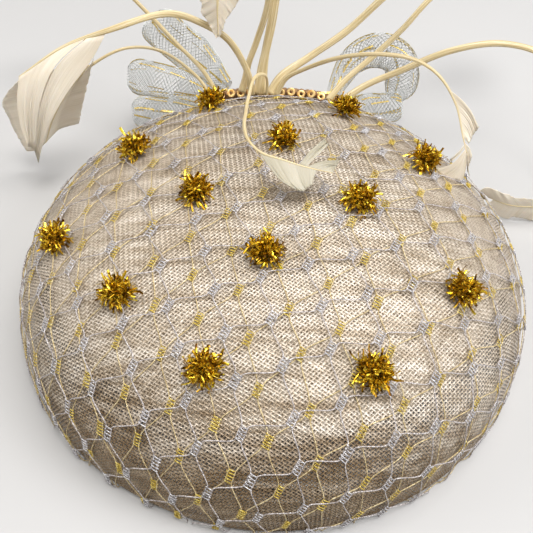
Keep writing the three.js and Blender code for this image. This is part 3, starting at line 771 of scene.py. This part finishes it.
# ---- feathers
# path: points of the shaft, root first, as in the CAD model. quill: its width at the root and where the
# vane starts, and how flat it is. face: where its flat side looks, at the root and the tip. trimmed: panels
# cut to a shape, each by its first barb, its last barb and the points of the cut edge between their tips.
# combed: plain panels: side (1 is left of the shaft, -1 right), from and to along the shaft, length of the
# barbs at the start, middle and end, and their lean along the shaft in degrees at the start and the end.
FEATHERS = {
    "feather_01": dict(
        path=[(-11.6, 75.6, 30.8), (-12.3, 75.6, 37.5), (-14.5, 76.8, 43.5), (-20.5, 78, 53),
              (-29, 77, 59.5), (-41, 73, 65.5), (-61, 65, 63), (-78, 61.5, 57.5), (-93.5, 54.5, 49.5)],
        quill=(3.0, 2.3, 0.4), face=((0, -1, 0.3), (-0.2, -0.8, 0.5)),
        trimmed=[
            ([(-61.5, 64.5, 63), (-67, 60, 55), (-77, 52, 44.5), (-84, 47, 34.5),
              (-88.5, 45, 25), (-91, 44, 18.5)],
             [(-68.5, 63.5, 62), (-79.5, 56, 53.5), (-86, 50, 42), (-89.5, 46.5, 30), (-91.5, 45, 24)], []),
            ([(-69, 63.5, 62), (-80, 56, 53.5), (-86.5, 50, 42), (-90, 46.5, 30), (-91.8, 45, 24.5)],
             [(-93.5, 54, 49.5), (-95, 50, 41.5), (-95, 47, 33.5), (-93.5, 45, 25.5)], []),
        ],
    ),
    "feather_02": dict(
        path=[(-26.8, 72.6, 30.4), (-33, 77, 37), (-46, 78, 47), (-58, 73, 51), (-70, 68, 47),
              (-80, 65, 38), (-88, 62, 26), (-93, 60, 15)],
        quill=(1.4, 1.1, 0.7), face=((0, -1, 0.3), (-0.1, -0.85, 0.5)),
        trimmed=[
            ([(-70, 67, 47), (-69.5, 67, 49), (-69, 67, 50.5)],
             [(-93, 61, 15), (-90, 63.5, 17), (-87.5, 64, 19), (-79.5, 65, 21.5)],
             [(-73, 66.5, 40), (-76, 66, 32)]),
            ([(-70, 67, 47), (-82, 64.5, 47), (-97.5, 62, 42.5)],
             [(-93, 61, 15), (-98, 61, 10), (-102, 61, 9.5)],
             [(-102.5, 62, 37.5), (-106.5, 62, 32), (-106, 62, 25), (-104, 61.5, 14.5)]),
        ],
    ),
    "feather_03": dict(
        path=[(-24.2, 73.8, 30.4), (-31, 80, 38), (-41, 85, 46), (-59, 92, 62), (-75, 98, 73),
              (-92, 103, 77), (-107, 105, 72), (-118, 105, 60)],
        quill=(1.8, 1.4, 0.6), face=((0, -1, 0.3), (0, -0.8, 0.6)),
        combed=[(1, 0.7, 1.0, (5, 10, 3), (40, 30)), (-1, 0.72, 0.88, (4, 10, 8), (40, 30)),
                (-1, 0.885, 1.0, (8, 8, 3), (36, 24))],
    ),
    "feather_04": dict(
        path=[(-15.6, 77.8, 30.4), (-14.4, 79.6, 34.5), (-13.2, 81, 41), (-10, 82.5, 50.5), (-6, 84, 66),
              (-6.5, 86, 84), (-13, 86, 91), (-21, 82, 84), (-23.8, 77, 70), (-23.7, 73, 57.5)],
        quill=(3.2, 2.2, 0.5), face=((0, -1, 0.3), (0, -0.9, 0.3)),
        trimmed=[
            ([(-22.5, 80, 78), (-28, 80, 75), (-33, 80, 72.5)],
             [(-23.7, 73, 57.5), (-23.9, 73, 57), (-24.2, 73, 56.5)],
             [(-30.5, 78, 68.5), (-29.5, 77, 67), (-30, 76.5, 64.5), (-28, 75.5, 62), (-26, 74, 59)]),
            ([(-22, 81, 80), (-18, 80, 76), (-15, 78, 72)],
             [(-23.7, 73, 57.5), (-23.5, 73, 57), (-23.3, 73, 56.5)],
             [(-16.5, 77.5, 69), (-18, 76.5, 66.5), (-20.5, 75, 63.5), (-21.5, 74, 61)]),
        ],
    ),
    "feather_05": dict(
        path=[(-8.5, 76.8, 30.4), (-7.3, 80.5, 42), (-4.6, 85, 57), (-2, 89.5, 74), (4, 92, 91),
              (17, 91, 104), (34, 86, 107), (48, 79, 98), (55, 73, 84)],
        quill=(5.2, 2.9, 0.4), face=((0, -1, 0.3), (0, -0.8, 0.6)),
        combed=[(1, 0.7, 1.0, (7, 12, 4), (42, 30)), (-1, 0.72, 0.9, (6, 12, 9), (40, 30)),
                (-1, 0.905, 1.0, (9, 8, 3), (34, 24))],
    ),
    "feather_06": dict(
        path=[(-5.6, 75.8, 30.6), (-5.5, 75.4, 37), (-6.2, 73.6, 41.2), (-8, 70.8, 43.6), (-10, 66.5, 44.8),
              (-11.3, 53, 47), (-11.6, 38, 50.5), (-11.2, 24, 54.9), (-9, 14, 57.5), (-5, 9, 57.5),
              (2, 6, 57.5), (7, 4.5, 57), (12, 3.5, 56.5), (16.5, 3, 56)],
        quill=(1.5, 1.2, 0.7), face=((1, 0.3, 0), (0, -0.3, 1)), look="shaded_thin_vane",
        trimmed=[
            ([(-6.5, 10, 57.5), (-3, 4.5, 56.5), (1, -1, 55.5), (4.5, -3, 54.5)],
             [(11.5, 3, 56.5), (11, 1.5, 55.5), (10.5, -0.5, 54)], [(7.5, -3, 54)]),
            ([(6.5, 4.5, 57), (9.5, 9.5, 58.5), (14, 14.5, 59.5)],
             [(8.5, 4, 57), (11, 7, 58), (15, 12, 59)], []),
            ([(8.5, 3.5, 57), (12.5, 6, 57.5), (18.5, 7, 57.5)],
             [(16.5, 3, 56), (16.7, 3.3, 56.3), (17, 4, 57)], []),
        ],
    ),
    "feather_07": dict(
        path=[(-4, 76.8, 30.4), (0, 81, 36), (11, 87.5, 41.5), (24.5, 94, 49), (38, 101, 60), (54, 110, 72),
              (72, 117, 80), (90, 121, 79), (104, 121, 69)],
        quill=(4.6, 2.6, 0.4), face=((0, -1, 0.3), (0, -0.8, 0.6)),
        combed=[(1, 0.72, 0.9, (7, 12, 10), (42, 34)), (1, 0.905, 1.0, (9, 8, 3), (34, 24)),
                (-1, 0.72, 1.0, (6, 12, 3), (40, 28))],
    ),
    "feather_08": dict(
        path=[(-1.8, 76.6, 30.4), (1.5, 78, 37), (8, 76.5, 42.5), (21, 69, 53.2), (34, 61, 60.2),
              (45, 52, 64), (52.5, 46, 62), (58.5, 40, 55.5), (61.5, 33, 48), (63, 28.5, 44.5)],
        quill=(2.4, 1.5, 0.5), face=((0, -1, 0.3), (-0.1, -0.7, 0.7)),
        trimmed=[
            ([(56, 43.5, 59.5), (59.5, 41, 57.5), (63, 38.5, 55), (66.5, 35, 50.5)],
             [(61.5, 33, 48), (62.5, 32, 47.3), (63.5, 31, 46.5)], [(65, 33.5, 48.5)]),
            ([(62, 31, 46.5), (60.5, 29.5, 44.5), (58, 28, 42)],
             [(62.3, 30, 46), (60.7, 28.7, 43.7), (58.4, 27.6, 41.5)], []),
            ([(62.4, 29.5, 45.5), (58.5, 27, 41), (53, 26, 39)],
             [(63, 28.5, 44.5), (63.3, 25.5, 40), (62.5, 23.5, 36.5)], [(57.5, 24.5, 37)]),
            ([(62, 32, 47), (63.5, 30, 46), (64.5, 28.5, 44)],
             [(63, 28.5, 44.5), (63.8, 26.5, 41), (65, 25, 37.5)], [(64.5, 27, 42.5), (64, 26, 40.5)]),
        ],
    ),
    "feather_09": dict(
        path=[(18.6, 74.6, 30.4), (25, 80.5, 35.8), (36, 87, 43.5), (46, 93, 51.5), (56, 100, 61),
              (70, 106, 71), (86, 109, 74), (100, 109, 67)],
        quill=(2.8, 2.1, 0.5), face=((0, -1, 0.3), (0, -0.8, 0.6)),
        combed=[(1, 0.7, 1.0, (5, 10, 3), (42, 30)), (-1, 0.72, 0.9, (5, 10, 8), (40, 30)),
                (-1, 0.905, 1.0, (8, 7, 3), (34, 24))],
    ),
    "feather_10": dict(
        path=[(23.2, 73.2, 30.6), (33, 78.5, 35.2), (46, 81, 40.8), (64, 82.5, 49.5), (82, 82, 53.6),
              (98, 77, 52), (109, 69, 44), (112.5, 59, 31), (110, 49, 17), (103, 43, 9), (95, 42, 8.5),
              (88, 42, 9.5), (81, 42.5, 12)],
        quill=(2.9, 2.3, 0.5), face=((0, -1, 0.3), (-0.1, -0.6, 0.8)),
        trimmed=[
            ([(108, 47.5, 14), (108, 44, 13.5), (108, 42, 13)],
             [(81, 42.5, 12), (79, 42, 14), (76.5, 42, 15.5)],
             [(98, 42, 12.5), (91.5, 42, 13), (86, 42, 15), (79, 42, 17.5)]),
            ([(109, 48, 15.5), (111.5, 44, 7), (112, 42, 1)],
             [(83, 42.3, 11.3), (82, 42, 9.5), (81.5, 42, 7.5)],
             [(101.5, 42, 1), (94.5, 42, 2.5), (91, 42, 1.5), (87, 42, 3.5)]),
        ],
    ),
}
SHAFT_POINTS = 130
PANEL_ROWS = 40
LOCKS = 4  # groups of barbs that cling together in a combed panel
BARB_POINTS = 14
VANE_THICKNESS = 0.14
QUILL_TIP = 0.16  # radius


def three_values(values, u):
    """Start, middle and end values joined smoothly over u from 0 to 1."""
    swell = values[1] - (values[0] + values[2]) / 2
    return np.interp(u, [0, 0.5, 1], values) + 0.12 * swell * np.sin(np.pi * u)


def sampled(arrays, spot):
    """Rows of several arrays at fractional positions along them."""
    index = np.arange(len(arrays[0]))
    return [np.stack([np.interp(spot, index, a[:, k]) for k in range(3)], -1) for a in arrays]


def combed_panel(builder, shaft, side, first, last, lengths, lean):
    """A panel of barbs on one side of the shaft, as a sheet that is split into locks at its cut edge."""
    line, along, across, out = shaft
    count = len(line)
    bounds = np.sort(np.concatenate([[0, 1], rng.uniform(0.06, 0.94, LOCKS - 1)]))
    v = np.linspace(0, 1, BARB_POINTS)
    for low, high in zip(bounds, bounds[1:]):
        rows = max(3, int((high - low) * 60))
        u = np.linspace(low, high, rows)
        spot = (first + (last - first) * u) * (count - 1)
        root, t, s, n = sampled((line, along, across, out), spot)
        length = three_values(lengths, u) * (1 + 0.01 * rng.normal(0, 1, rows))
        angle = np.radians(np.interp(u, [0, 1], lean))[:, None] + 0.18 * v[None] ** 2
        pull = (0.5 * (low + high) - u)[:, None] * v[None] ** 2 * rng.uniform(0.05, 0.2)
        pull = pull * (last - first) * step_lengths(line).sum()
        twist = rng.normal(0, 0.05) * length[:, None] * v[None] ** 2
        reach = length[:, None] * v[None]
        points = root[:, None] + s[:, None] * (-side * reach * np.cos(angle))[..., None]
        points = points + t[:, None] * (reach * np.sin(angle) + pull)[..., None]
        bend = 2 * (length / max(lengths))[:, None] * v[None] ** 2
        points = points + n[:, None] * (twist - bend)[..., None]
        spread = np.broadcast_to(u[:, None] * (last - first) * 120, reach.shape)
        uv = np.stack([spread, reach], -1).reshape(-1, 2)
        builder.add(points.reshape(-1, 3), grid_faces(rows, BARB_POINTS), uv)


def trimmed_panel(builder, shaft, first, last, hem):
    """A panel cut to a shape: a sheet spanned between the shaft, two barbs and the cut edge."""
    line = shaft[0]
    low, high = (int(np.argmin(np.linalg.norm(line - np.array(barb[0]), axis=1))) for barb in (first, last))
    u = np.linspace(0, 1, PANEL_ROWS)[:, None, None]
    v = np.linspace(0, 1, BARB_POINTS)[None, :, None]
    root = sampled((line,), np.linspace(low, high, PANEL_ROWS))[0]
    begin = spline([line[low], *first[1:]], BARB_POINTS)
    end = spline([line[high], *last[1:]], BARB_POINTS)
    cut = spline([first[-1], *hem, last[-1]], PANEL_ROWS)
    cut[1:-1] += rng.normal(0, 0.12, (PANEL_ROWS - 2, 3))
    points = (1 - v) * root[:, None] + v * cut[:, None] + (1 - u) * begin[None] + u * end[None]
    points = points - (1 - u) * ((1 - v) * root[0] + v * cut[0]) - u * ((1 - v) * root[-1] + v * cut[-1])
    lift = 0.3 * np.sin(u * 5 + 2 * v) * v
    points = points + sampled((shaft[3],), np.linspace(low, high, PANEL_ROWS))[0][:, None] * lift
    length = np.linalg.norm(cut - root, axis=1)
    wide = max(step_lengths(edge).sum() for edge in (root, cut))
    uv = side_by_side(u[..., 0] * wide, v[..., 0] * length[:, None])
    builder.add(points.reshape(-1, 3), grid_faces(PANEL_ROWS, BARB_POINTS), uv.reshape(-1, 2))


def feather(name, path, quill, face, trimmed=(), combed=(), look="vane"):
    line = spline(path, SHAFT_POINTS)
    t = np.linspace(0, 1, len(line))
    start = min([panel[1] for panel in combed] or [0.6])
    ease = np.clip(t / start, 0, 1)
    ease = (ease * ease * (3 - 2 * ease))[:, None]
    shaft = (line, *frames_along(line, (1 - ease) * np.array(face[0]) + ease * np.array(face[1])))
    base, body, flat = quill
    radius = np.interp(t, [0, 0.12, start, 1], [base / 2, body * 0.56, body / 2, QUILL_TIP])
    radius = radius * (1 + wavy(len(t), 8, 0.03))
    stem = Builder()
    tube(stem, line, radius, sides=12, up=shaft[3], flat=flat)
    stem.piece(name + "_quill", "quill", slot="feather", node=name)
    barbs = Builder()
    for panel in trimmed:
        trimmed_panel(barbs, shaft, *panel)
    for panel in combed:
        combed_panel(barbs, shaft, *panel)
    vane = barbs.piece(name + "_vane", look, slot="feather", node=name)
    solid = vane.modifiers.new("thickness", "SOLIDIFY")
    solid.thickness, solid.offset = VANE_THICKNESS * MM, 0


# ---- crin loops
# path and half width at the root, middle and end, as in the CAD model; crin_ring is wider here and runs
# on a little below its end there
CRIN_LOOPS = {
    "crin_loop_upper": (
        [(-21.5, 85, 27.5), (-28, 92, 29.5), (-36, 96.3, 34), (-45.5, 96.5, 42.5), (-52, 96.5, 50.5)],
        (2.4, 7.5, 8)),
    "crin_loop_middle": (
        [(-23, 84.4, 21.5), (-31.5, 89, 20.5), (-42, 91.2, 22), (-53, 91.4, 25), (-64, 91.4, 26.5)],
        (2.2, 6.8, 7.2)),
    "crin_loop_lower": (
        [(-24.5, 84, 15.5), (-33, 85.8, 12.5), (-42, 86.4, 12), (-53, 86.4, 11.5), (-63, 86.4, 11.5)],
        (2.2, 6.3, 6.8)),
    "crin_ring": (
        [(21, 84.8, 24.5), (24, 91, 29), (28.5, 94.5, 35.5), (34.5, 95, 39.8), (41, 95, 40.4),
         (47, 94.8, 37), (49.5, 94.5, 31.5), (50, 94.3, 26), (48.5, 93, 19.5)],
        (2.2, 6.4, 6)),
    "crin_ring_fold": (
        [(23.5, 84.2, 18.5), (31, 88.4, 17), (38, 89.6, 16.5), (45, 89.8, 17), (51.5, 89.6, 18)],
        (2.2, 6, 6)),
}
CRIN_POINTS = 60
CRIN_HALF_THICKNESS = 2.4
CRIN_PUFF = 1.12  # how much wider the mesh spreads than the half widths say
FILAMENT = 0.11
CRIN_PITCH = 1.35
LUREX_HALF_WIDTH = 0.42
LUREX_RUNS = 9  # gold strips woven along a loop


def crin_point(shaft, wide, t, angle):
    """A point on the flattened tube of a crin loop, at t along it and an angle round it."""
    centre, s, n = sampled((shaft[0], shaft[2], shaft[3]), t * (len(shaft[0]) - 1))
    # the loop rounds off at its end
    close = np.sqrt(np.clip(1 - np.clip((t - 0.86) / 0.16, 0, 1) ** 2, 0, 1))
    reach = CRIN_PUFF * three_values(wide, t) * close
    depth = CRIN_HALF_THICKNESS * np.interp(t, [0, 0.4, 1], [0.5, 1, 1]) * (0.35 + 0.65 * close)
    puff = 1 + 0.06 * np.sin(7 * t + 2 * angle)
    aside, out = reach * puff * np.cos(angle), depth * puff * np.sin(angle)
    return centre + s * aside[:, None] + n * out[:, None]


def lurex_strip(builder, line, out):
    """A short flat strip of foil along a line."""
    _, side, normal = frames_along(line, out)
    edges = [line + sign * LUREX_HALF_WIDTH * side + 0.1 * normal for sign in (-1, 1)]
    points = np.stack(edges, 1).reshape(-1, 3)
    uv = np.column_stack([np.tile([0.0, 1.0], len(line)), np.repeat(np.arange(len(line)) * 0.5, 2)])
    builder.add(points, grid_faces(len(line), 2), uv)


def crin_loop(node, path, wide):
    line = spline(path, CRIN_POINTS)
    shaft = (line, *frames_along(line, (0, -1, 0.2)))
    length = step_lengths(line).sum()
    girth = 4 * max(wide)
    count = int(girth / CRIN_PITCH)
    mesh, shine = Builder(), Builder()
    t = np.linspace(0, 1, int(length / 0.9))
    for way in (-1, 1):
        for k in range(count):
            angle = 2 * math.pi * k / count + way * t * length / girth * 2 * math.pi * 0.9
            tube(mesh, crin_point(shaft, wide, t, angle), FILAMENT, sides=4, up=(0.1, -1, 0.3))
    for k in range(LUREX_RUNS):
        drift = rng.uniform(-0.8, 0.8)
        place = rng.uniform(0, 0.1)
        while place < 0.93:
            end = min(place + rng.uniform(6, 10) / length, 0.98)
            run = np.linspace(place, end, 10)
            angle = 2 * math.pi * (k + 0.3) / LUREX_RUNS + drift * run
            points = crin_point(shaft, wide, run, angle)
            middle = sampled((line,), run * (len(line) - 1))[0]
            lurex_strip(shine, points, unit(points - middle))
            place = end + rng.uniform(1.5, 5) / length
    mesh.piece(node + "_mesh", "crin", slot="crin", node=node)
    shine.piece(node + "_lurex", "lurex", slot="crin", node=node)


# ---- pad, sequins and binding behind the crown
PAD_RADIUS = 82.8
PAD_Z = 25.5
PAD_LEAN = math.atan2(0.35, 0.94)
PAD_ENDS = (109, 71)  # degrees round the hat
PAD_ROW = 3.2
STRAND_RADIUS = 1.05


def pad_point(angle, up, out):
    """A point on the pad: up its leaning height and out from its middle, at an angle round the hat."""
    r = PAD_RADIUS - up * math.sin(PAD_LEAN) + out * math.cos(PAD_LEAN)
    z = PAD_Z + up * math.cos(PAD_LEAN) + out * math.sin(PAD_LEAN)
    return np.array([r * math.cos(angle), r * math.sin(angle), z])


def quill_pad():
    """Three plaited ridges of brown braid, stacked into a curved strip."""
    builder = Builder()
    angles = np.radians(np.linspace(*PAD_ENDS, 90))
    for row, up in enumerate((-PAD_ROW, 0.0, PAD_ROW)):
        for strand in range(3):
            phase = strand * 2 * math.pi / 3
            beat = np.arange(len(angles)) * 0.55 + phase
            ups, outs = up + np.sin(beat), 0.7 * np.sin(2 * beat + row)
            line = [pad_point(*place) for place in zip(angles, ups, outs)]
            tube(builder, line, STRAND_RADIUS, sides=8, up=(0, 0, 1))
    builder.piece("quill_pad_braid", "braid", slot="braid", node="quill_pad")


SEQUINS = 13
SEQUIN_ENDS = (107.5, 72.5)  # degrees round the hat
SEQUIN_OUTER = 1.65
SEQUIN_HOLE = 0.6
SEQUIN_ROUND = 0.15  # how far its edges are rounded


def sequin(builder, centre, out):
    """A thin gold ring with rounded edges."""
    side = unit(np.cross(out, [0.1, 0.2, 1.0]))
    lift = np.cross(side, out)
    angle = np.arange(20) * 2 * np.pi / 20
    spokes = np.outer(np.cos(angle), side) + np.outer(np.sin(angle), lift)
    hole, rim = SEQUIN_HOLE + SEQUIN_ROUND, SEQUIN_OUTER - SEQUIN_ROUND
    profile = [(SEQUIN_HOLE, 0.1), (hole, 0.2), (rim, 0.2), (SEQUIN_OUTER, 0.1), (rim, 0.0), (hole, 0.0)]
    points = np.concatenate([centre + out * h + r * spokes for r, h in profile])
    builder.add(points, torus_faces(len(profile), len(angle)), np.zeros((len(points), 2)))


def sequins():
    builder = Builder()
    for k, degrees in enumerate(np.linspace(*SEQUIN_ENDS, SEQUINS)):
        angle = math.radians(degrees)
        out = np.array([-math.cos(angle), -math.sin(angle), 0.9]) + rng.normal(0, 0.12, 3)
        centre = pad_point(angle, 5.3 + 0.9 * (k % 2), -1.9)
        sequin(builder, centre, unit(out))
    builder.piece("ring_sequins", "sequin", slot="braid")
    shine = Builder()
    for start, end in (((14.5, 79.5, 30), (20.5, 79, 31)), ((-25, 77.5, 30), (-21.5, 79, 30.5))):
        lurex_strip(shine, spline([start, end], 8), (0, -1, 0.9))
    shine.piece("pad_lurex", "lurex", slot="braid")


BINDINGS = (99.5, 97.0, 95.2, 93.0, 76.5, 72.6, 109.5)  # degrees round the hat
BINDING_TURNS = 3
BINDING_RADIUS = 0.16


def binding_thread():
    """Turns of cream thread that lash the quills to the pad."""
    builder = Builder()
    for degrees in BINDINGS:
        for turn in range(BINDING_TURNS):
            middle = math.radians(degrees) + 0.008 * turn
            t = np.linspace(0, 2 * math.pi, 24)
            places = zip(middle + 0.012 * np.sin(t), 4.3 * np.sin(t), -1.0 - 3.6 * np.cos(t))
            line = [pad_point(*place) for place in places]
            tube(builder, line, BINDING_RADIUS, sides=5)
    builder.piece("binding_thread", "thread", slot="ribbon")


# ---- inside the rim
RIBBON_THICKNESS = 0.5
PICOT = 0.25  # height of the loops along the ribbon's upper edge


def inner_ribbon():
    """The sweatband: an upright ring of ribbon, a little uneven."""
    low, high = node_box("inner_ribbon")
    radius, tall = high[0], high[2] - 0.2 - low[2]
    angle = np.linspace(0, 2 * np.pi, 200, endpoint=False)
    levels = np.linspace(0, 1, 7)
    wave = 0.12 * np.sin(angle * 9) + 0.08 * np.sin(angle * 23 + 1)
    edge = PICOT * np.abs(np.sin(angle * radius / 1.2))
    rings = []
    for depth, rise in ((0, levels), (RIBBON_THICKNESS, levels[::-1])):
        heights = [low[2] + tall * v + edge * (v == 1) for v in rise]
        rings += [round_axis(radius + wave - depth, angle, z) for z in heights]
    rows = len(rings)
    ribs = np.repeat(np.arange(rows) / rows * 20, len(angle))
    uv = np.column_stack([np.tile(angle * radius, rows), ribs])
    faces = torus_faces(rows, len(angle))[:, ::-1]
    piece = make_piece("sweatband_ribbon", np.concatenate(rings), faces, uv, "ribbon",
                       node="inner_ribbon")


FACING_WIDTH = 2.2  # of the part that lies flat


def rim_facing():
    """A ribbon folded to an L: it lies flat under the rim and turns up inside the wire."""
    _, high = node_box("rim_binding")
    outer, inner = high[0], high[0] - FACING_WIDTH
    angle = np.linspace(0, 2 * np.pi, 240, endpoint=False)
    profile = [(outer, 0.0), (outer, 0.7), (inner + 0.7, 0.75), (inner + 0.55, 1.2), (inner + 0.55, 3.8),
               (inner, 3.8), (inner, 0.5), (inner + 0.4, 0.0)]
    rings = [round_axis(r, angle, z) for r, z in profile]
    run = np.tile(angle * outer, len(profile))
    uv = np.column_stack([run, np.repeat(np.arange(len(profile)), len(angle))])
    faces = torus_faces(len(profile), len(angle))
    make_piece("rim_facing", np.concatenate(rings), faces, uv, "ribbon",
               node="rim_binding")


def rim_wire():
    low, high = node_box("rim_wire")
    radius = (high[2] - low[2]) / 2
    builder = Builder()
    angle = np.linspace(0, 2 * np.pi, 181)
    line = round_axis(high[0] - 0.5, angle, (low[2] + high[2]) / 2)
    tube(builder, line, radius, sides=10, up=(0, 0, 1))
    builder.piece("rim_wire_round", "wire", slot="wire", node="rim_wire")


STITCHES = 76
STITCH_RADIUS = 0.15


def rim_stitches():
    """Running stitches through the facing and the ribbon."""
    builder = Builder()
    low, high = node_box("inner_ribbon")
    t = np.linspace(0, 1, 6)
    for k in range(STITCHES):
        r = high[0] - 0.62 - 0.12 * np.sin(math.pi * t)
        line = round_axis(r, 0.042 * t + k * 2 * math.pi / STITCHES, low[2] + 1.4 + 0.5 * t)
        tube(builder, line, STITCH_RADIUS, sides=5, up=(0, 0, 1))
    builder.piece("rim_stitches", "thread", slot="ribbon")


COMB_TEETH = 17
COMB_PITCH = 3.0
SPINE_POINTS = 40
TOOTH_POINTS = 16
TOOTH_RADIUS = 0.62
COMB_THREAD_RADIUS = 0.18


def hair_comb():
    """Round-edged comb: a rounded spine and tapered teeth that curve up to their tips."""
    low, high = node_box("hair_comb")
    front, spine, thick = low[1], 4.0, 1.6
    middle_z = low[2] + thick / 2
    builder = Builder()
    x = np.linspace(low[0] + 1.2, high[0] - 1.2, SPINE_POINTS)
    from_end = np.minimum(np.arange(SPINE_POINTS), np.arange(SPINE_POINTS)[::-1])
    ends = np.minimum(1, 0.4 + 0.3 * from_end)
    line = side_by_side(x, front + spine / 2, middle_z)
    tube(builder, line, spine / 2 * ends, sides=16, up=(0, 0, 1), flat=thick / spine)
    for k in range(COMB_TEETH):
        place = (k - (COMB_TEETH - 1) / 2) * COMB_PITCH
        t = np.linspace(0, 1, TOOTH_POINTS)
        y = front + spine - 0.8 + t * (high[1] - front - spine + 0.8)
        z = middle_z + (high[2] - low[2] - thick) * t**2
        radius = TOOTH_RADIUS * np.sqrt(np.clip(1 - (t * 0.98) ** 6, 0.02, 1)) * (1 - 0.35 * t)
        tube(builder, side_by_side(place, y, z), radius, sides=10, up=(0, 0, 1))
    builder.piece("comb", "comb", slot="comb_plastic", node="hair_comb")


def comb_thread():
    """The winding that sews the comb's spine to the facing."""
    low, _ = node_box("hair_comb")
    builder = Builder()
    turns = COMB_TEETH - 1
    t = np.linspace(0, 1, turns * 14)
    angle = t * turns * 2 * math.pi
    x = (t - 0.5) * turns * COMB_PITCH
    y = low[1] + 1.9 + 2.5 * np.cos(angle)
    z = low[2] + 0.8 + 1.15 * np.sin(angle)
    tube(builder, side_by_side(x, y, z), COMB_THREAD_RADIUS, sides=5)
    builder.piece("comb_thread", "thread", slot="ribbon")


def clip():
    for node in ("clip_base", "clip_lever", "clip_pin", "clip_spring"):
        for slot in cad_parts[node].material_slots:
            slot.material = LOOKS["clip"]


# ---- floor and light
FLOOR_SIZE = 12  # metres
LAMP_AIM = Vector((0, 0, 0.02))


def stage():
    bpy.ops.mesh.primitive_plane_add(size=FLOOR_SIZE)
    floor = bpy.context.object
    floor.name = "floor"
    floor.data.materials.append(floor_look())
    world = bpy.data.worlds.new("studio")
    world.use_nodes = True
    background = world.node_tree.nodes["Background"]
    background.inputs["Color"].default_value = (0.85, 0.87, 0.9, 1)
    background.inputs["Strength"].default_value = 0.11
    bpy.context.scene.world = world
    bpy.context.scene.view_settings.view_transform = "Standard"
    lamps = (
        ("key", (0.25, 0.12, 0.97), 0.7, 7.6, (1.0, 0.985, 0.96)),
        ("top", (0.1, -0.25, 1.2), 0.4, 5.6, (1.0, 0.985, 0.97)),
        ("front", (-0.3, -0.8, 0.6), 0.7, 1.1, (1.0, 0.985, 0.97)),
        ("right", (0.9, -0.1, 0.6), 0.6, 6.6, (0.95, 0.96, 1.0)),
        ("left", (-0.8, 0.1, 0.6), 0.6, 4.2, (1.0, 0.985, 0.97)),
    )
    for name, place, size, power, color in lamps:
        data = bpy.data.lights.new(name, "AREA")
        data.size, data.energy, data.color = size, power, color
        lamp = bpy.data.objects.new(name, data)
        lamp.location = place
        lamp.rotation_euler = (LAMP_AIM - Vector(place)).to_track_quat("-Z", "Y").to_euler()
        bpy.context.scene.collection.objects.link(lamp)


make_camera()
sinamay_cover()
crown_form()
veils()
for number in range(1, 14):
    pompom(f"pompom_{number:02d}")
for feather_name, spec in FEATHERS.items():
    feather(feather_name, **spec)
for crin_name, (crin_path, crin_wide) in CRIN_LOOPS.items():
    crin_loop(crin_name, crin_path, crin_wide)
quill_pad()
sequins()
binding_thread()
inner_ribbon()
rim_facing()
rim_wire()
rim_stitches()
hair_comb()
comb_thread()
clip()
stage()
